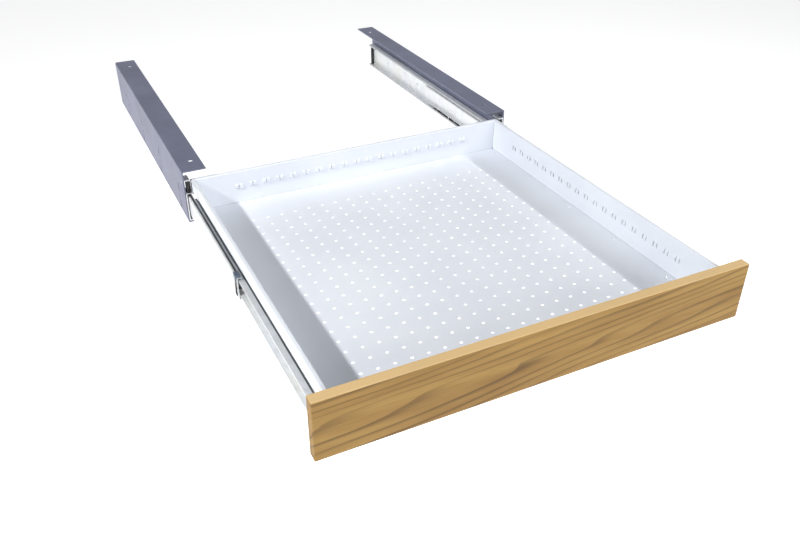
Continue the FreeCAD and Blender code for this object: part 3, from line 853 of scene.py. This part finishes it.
@dataclass
class ReleaseCatch:
    """The stamped release lever with its grip and rivet, and the cast clip above it."""

    side: Side
    eye: float = 3.6            # radius of the lever's eye
    stamped_edge: float = 0.25
    thickness: float = 1.3
    shoulder: float = 0.28      # sine of the angle at which the eye turns into the arm
    foot: tuple[float, float] = (-1.2, 3.2)     # where the arm ends, before and behind the pivot
    tongue: tuple[float, float] = (-0.8, 1.6)
    tongue_tall: float = 3.0
    tongue_up: float = 5.0      # middle of the tongue above the lever's foot
    pad_edge: float = 0.55
    pin: float = 1.5            # radius of the rivet's pin
    head: float = 0.3           # rise of the rivet's domed head
    clip_edge: float = 0.4
    clip_end: float = 0.3       # easing of the casting's two ends
    plate: float = 1.45         # thickness of the casting's upright plate
    arm: float = 4.38           # height of its arm

    def inwards(self, points: np.ndarray, web: float) -> np.ndarray:
        """Turns (along Y, up Z, inwards) points into the frame.

        Args:
            points: rings whose third number is the distance inwards from the web side.
            web: X of the web side, in metres.

        Returns:
            The same rings in the frame, in metres.
        """
        x = web - self.side.value * points[..., 2]
        return np.stack([x, points[..., 0], points[..., 1]], axis=-1)

    def build(self) -> None:
        """Builds lever, tongue, grip, rivet and clip."""
        self.build_lever()
        self.build_grip()
        self.build_rivet()
        self.build_clip()

    def outer(self, low: np.ndarray, high: np.ndarray) -> float:
        """Finds the face that looks at the bracket.

        Args:
            low: lowest corner of a node, in metres.
            high: its highest corner.

        Returns:
            X of the face.
        """
        return float(low[0] if self.side is Side.LEFT else high[0])

    def build_lever(self) -> None:
        """Outline: an arc round the eye, then two straight edges that run to the foot."""
        node = self.side.node("release_lever")
        low, high = corners(node)
        web = self.outer(low, high)
        y, z = (low[1] + high[1]) / 2, high[2] - self.eye * MM
        start = math.asin(self.shoulder)
        arc = np.linspace(-start, math.pi + start, 33)
        head = np.stack([y + self.eye * MM * np.cos(arc), z + self.eye * MM * np.sin(arc)], axis=1)
        foot = np.array([[y + self.foot[0] * MM, low[2]], [y + self.foot[1] * MM, low[2]]])
        t = np.linspace(0.0, 1.0, 9)[1:-1, None]
        sides = [head[-1] + (foot[0] - head[-1]) * t, head[0] + (foot[1] - head[0]) * t[::-1]]
        outline = np.concatenate([head, sides[0], foot, sides[1]])
        blade = eased_plate(outline, 0.0, self.thickness * MM, self.stamped_edge * MM)
        Piece(self.side.node("lever_blade"), [self.inwards(blade, web)], FINISHES.lever_steel,
              self.side.node("lever"), "zinc_steel", (node,)).build()
        reach = (high[0] - low[0]) - self.thickness * MM / 2
        size = np.array([reach, (self.tongue[1] - self.tongue[0]) * MM, self.tongue_tall * MM])
        place = np.array([web - self.side.value * (self.thickness * MM / 2 + reach / 2),
                          y + sum(self.tongue) / 2 * MM, low[2] + self.tongue_up * MM])
        Piece(self.side.node("lever_tongue"), [moulded_block(size, self.stamped_edge * MM) + place],
              FINISHES.lever_steel, self.side.node("lever"), "zinc_steel").build()

    def build_grip(self) -> None:
        """A thin moulded pad with grooves across it for a fingertip."""
        node = self.side.node("lever_grip")
        low, high = corners(node)
        pad = moulded_block(high - low, self.pad_edge * MM, swell=0.12, ribs=4, rib_depth=0.25,
                            spans=40)
        Piece(self.side.node("grip_pad"), [pad + (low + high) / 2], FINISHES.grip,
              self.side.node("lever"),
              "grip_plastic", (node,), sharp=60.0).build()

    def build_rivet(self) -> None:
        """A domed head on a pin, spun about the pivot."""
        node = self.side.node("lever_rivet")
        low, high = corners(node)
        web = self.outer(low, high)
        depth, radius = float(high[0] - low[0]), float(high[1] - low[1]) / 2
        dome = np.linspace(0.0, math.pi / 2, 7)
        head = np.stack([radius * np.sin(dome), self.head * MM * (1 - np.cos(dome))], axis=1)
        neck, wide = (self.head + 0.03) * MM, self.pin * MM
        pin = np.array([[radius * 0.98, neck], [wide, neck], [wide, depth - 0.1 * MM],
                        [wide - 0.1 * MM, depth], [0.0, depth]])
        rings = turned(np.concatenate([head, pin]))
        middle = (low + high) / 2
        Piece(self.side.node("pivot_rivet"),
              [self.inwards(rings + [middle[1], middle[2], 0.0], web)],
              FINISHES.zinc_fastener, self.side.node("middle"), "zinc_screw", (node,)).build()

    def build_clip(self) -> None:
        """An angled casting: its section is a hook, carried along the slide with eased ends."""
        node = self.side.node("end_clip")
        low, high = corners(node)
        deep, tall = float(high[0] - low[0]), float(high[2] - low[2])
        plate, arm = self.plate * MM, self.arm * MM
        hook = np.array([[0, 0], [plate, 0], [plate, tall - arm], [deep, tall - arm], [deep, tall],
                         [0, tall]])
        section = soft_corners(hook, self.clip_edge * MM)
        rings = eased_plate(section, float(low[1]), float(high[1]), self.clip_end * MM)
        placed = np.stack([rings[..., 2], rings[..., 1] + low[2], rings[..., 0]], axis=-1)
        Piece(self.side.node("cast_clip"), [self.inwards(placed, self.outer(low, high))],
              FINISHES.zinc_cast,
              self.side.node("middle"), "cast_zinc", (node,)).build()


@dataclass
class Bracket:
    """The folded hanger with its buffer tab, rivet and closing buffer."""

    side: Side
    buffer_radius: float = 1.0
    pin: float = 2.0            # radius of the tab rivet's pin
    head: float = 1.1           # rise of its domed head

    def dress(self) -> None:
        """Coats the hanger and plates the tab."""
        dress(self.side.node("bracket"), FINISHES.dark_coat)
        dress(self.side.node("buffer_tab"), FINISHES.zinc_strip)

    def build(self) -> None:
        """Moulds the closing buffer and forms the tab's rivet."""
        node = self.side.node("closing_buffer")
        low, high = corners(node)
        block = moulded_block(high - low, self.buffer_radius * MM, swell=0.04)
        Piece(self.side.node("closing_pad"), [block + (low + high) / 2], FINISHES.rubber,
              "bench_side",
              "black_rubber", (node,)).build()
        node = self.side.node("tab_rivet")
        low, high = corners(node)
        depth, radius = float(high[0] - low[0]), float(high[1] - low[1]) / 2
        dome = np.linspace(0.0, math.pi / 2, 9)[1:]
        wide, neck = self.pin * MM, depth - self.head * MM
        pin = np.array([[0.0, 0.0], [wide, 0.0], [wide, neck], [radius, neck]])
        head = np.stack([radius * np.cos(dome), neck + self.head * MM * np.sin(dome)], axis=1)
        rings = turned(np.concatenate([pin, head]))
        web = float(low[0] if self.side is Side.LEFT else high[0])
        middle = (low + high) / 2
        placed = np.stack([web - self.side.value * rings[..., 2], rings[..., 0] + middle[1],
                           rings[..., 1] + middle[2]], axis=-1)
        Piece(self.side.node("domed_rivet"), [placed], FINISHES.zinc_fastener, "bench_side",
              "zinc_screw",
              (node,)).build()


# ---------------------------------------------------------------- studio
@dataclass
class Lamp:
    """One soft light, aimed at the drawer. Metres."""

    name: str
    place: tuple[float, float, float]
    size: float
    power: float
    colour: str = "#ffffff"


@dataclass
class Studio:
    """Pale floor, soft lights and the camera. Metres."""

    floor_z: float = -0.85
    floor_half: float = 14.0
    aim: tuple[float, float, float] = (0.0, -0.6, -0.06)
    horizon: float = 0.7        # strength of the air up to about 7 degrees
    zenith: float = 0.1         # and from about 19 degrees up
    dusk: tuple[float, float] = (0.12, 0.32)    # sines of those two heights
    eye: tuple[float, float, float] = (-0.5423, -1.5949, 0.6102)
    ahead: tuple[float, float, float] = (0.373, 0.7554, -0.5387)
    across: tuple[float, float, float] = (0.8973, -0.4415, 0.0022)
    lens: float = 36.89
    lamps: list[Lamp] = field(default_factory=lambda: [
        Lamp("left_softbox", (-2.6, -0.95, 1.95), 0.16, 84.0),
        Lamp("right_softbox", (2.6, -0.75, 1.95), 0.16, 42.0),
        Lamp("front_softbox", (0.5, -3.6, 1.15), 1.6, 54.0, "#fdfdff"),
    ])

    def build(self) -> None:
        """Lays the floor, hangs the lights and sets the camera."""
        half, z = self.floor_half, self.floor_z
        mesh = bpy.data.meshes.new("studio_floor")
        mesh.from_pydata([(-half, -half, z), (half, -half, z), (half, half, z), (-half, half, z)],
                         [], [(0, 1, 2, 3)])
        mesh.materials.append(StudioPaper("seamless_white_paper").material())
        floor = bpy.data.objects.new("studio_floor", mesh)
        bpy.context.scene.collection.objects.link(floor)
        world = bpy.data.worlds.new("studio_air")
        bpy.context.scene.world = world
        world.use_nodes = True
        world.node_tree.nodes.clear()
        ahead = add(world.node_tree, "ShaderNodeTexCoord").outputs["Generated"]
        up = add(world.node_tree, "ShaderNodeSeparateXYZ", {0: ahead}).outputs["Z"]
        level = spread(world.node_tree, up, self.dusk, (self.horizon, self.zenith), smooth=True)
        air = add(world.node_tree, "ShaderNodeBackground",
                  {"Color": srgb("#f7f9ff"), "Strength": level})
        add(world.node_tree, "ShaderNodeOutputWorld", {"Surface": air.outputs[0]})
        for lamp in self.lamps:
            data = bpy.data.lights.new(lamp.name, "AREA")
            data.shape, data.size, data.energy = "DISK", lamp.size, lamp.power
            data.color = srgb(lamp.colour)[:3]
            hung = bpy.data.objects.new(lamp.name, data)
            hung.location = lamp.place
            towards = Vector(self.aim) - Vector(lamp.place)
            hung.rotation_euler = towards.to_track_quat("-Z", "Y").to_euler()
            bpy.context.scene.collection.objects.link(hung)
        ahead = Vector(self.ahead).normalized()
        across = Vector(self.across)
        across = (across - ahead * across.dot(ahead)).normalized()
        turn = Matrix((across, across.cross(ahead), -ahead)).transposed()
        data = bpy.data.cameras.new("studio_camera")
        data.lens, data.sensor_width = self.lens, 36.0
        data.clip_start, data.clip_end = 0.02, 60.0
        camera = bpy.data.objects.new("studio_camera", data)
        camera.matrix_world = Matrix.Translation(self.eye) @ turn.to_4x4()
        bpy.context.scene.collection.objects.link(camera)
        bpy.context.scene.camera = camera
        bpy.context.scene.view_settings.view_transform = "Standard"
        LOG.info("studio: %d lights", len(self.lamps))


def main() -> None:
    """Builds and dresses every sub-assembly, then the studio."""
    logging.basicConfig(level=logging.INFO, format="%(message)s")
    Tray().dress()
    WoodenFront().dress()
    for side in Side:
        slide = Slide(side)
        slide.dress()
        slide.build()
        ReleaseCatch(side).build()
        bracket = Bracket(side)
        bracket.dress()
        bracket.build()
    Studio().build()


if __name__ == "__main__":
    main()
    bpy.context.view_layer.update()
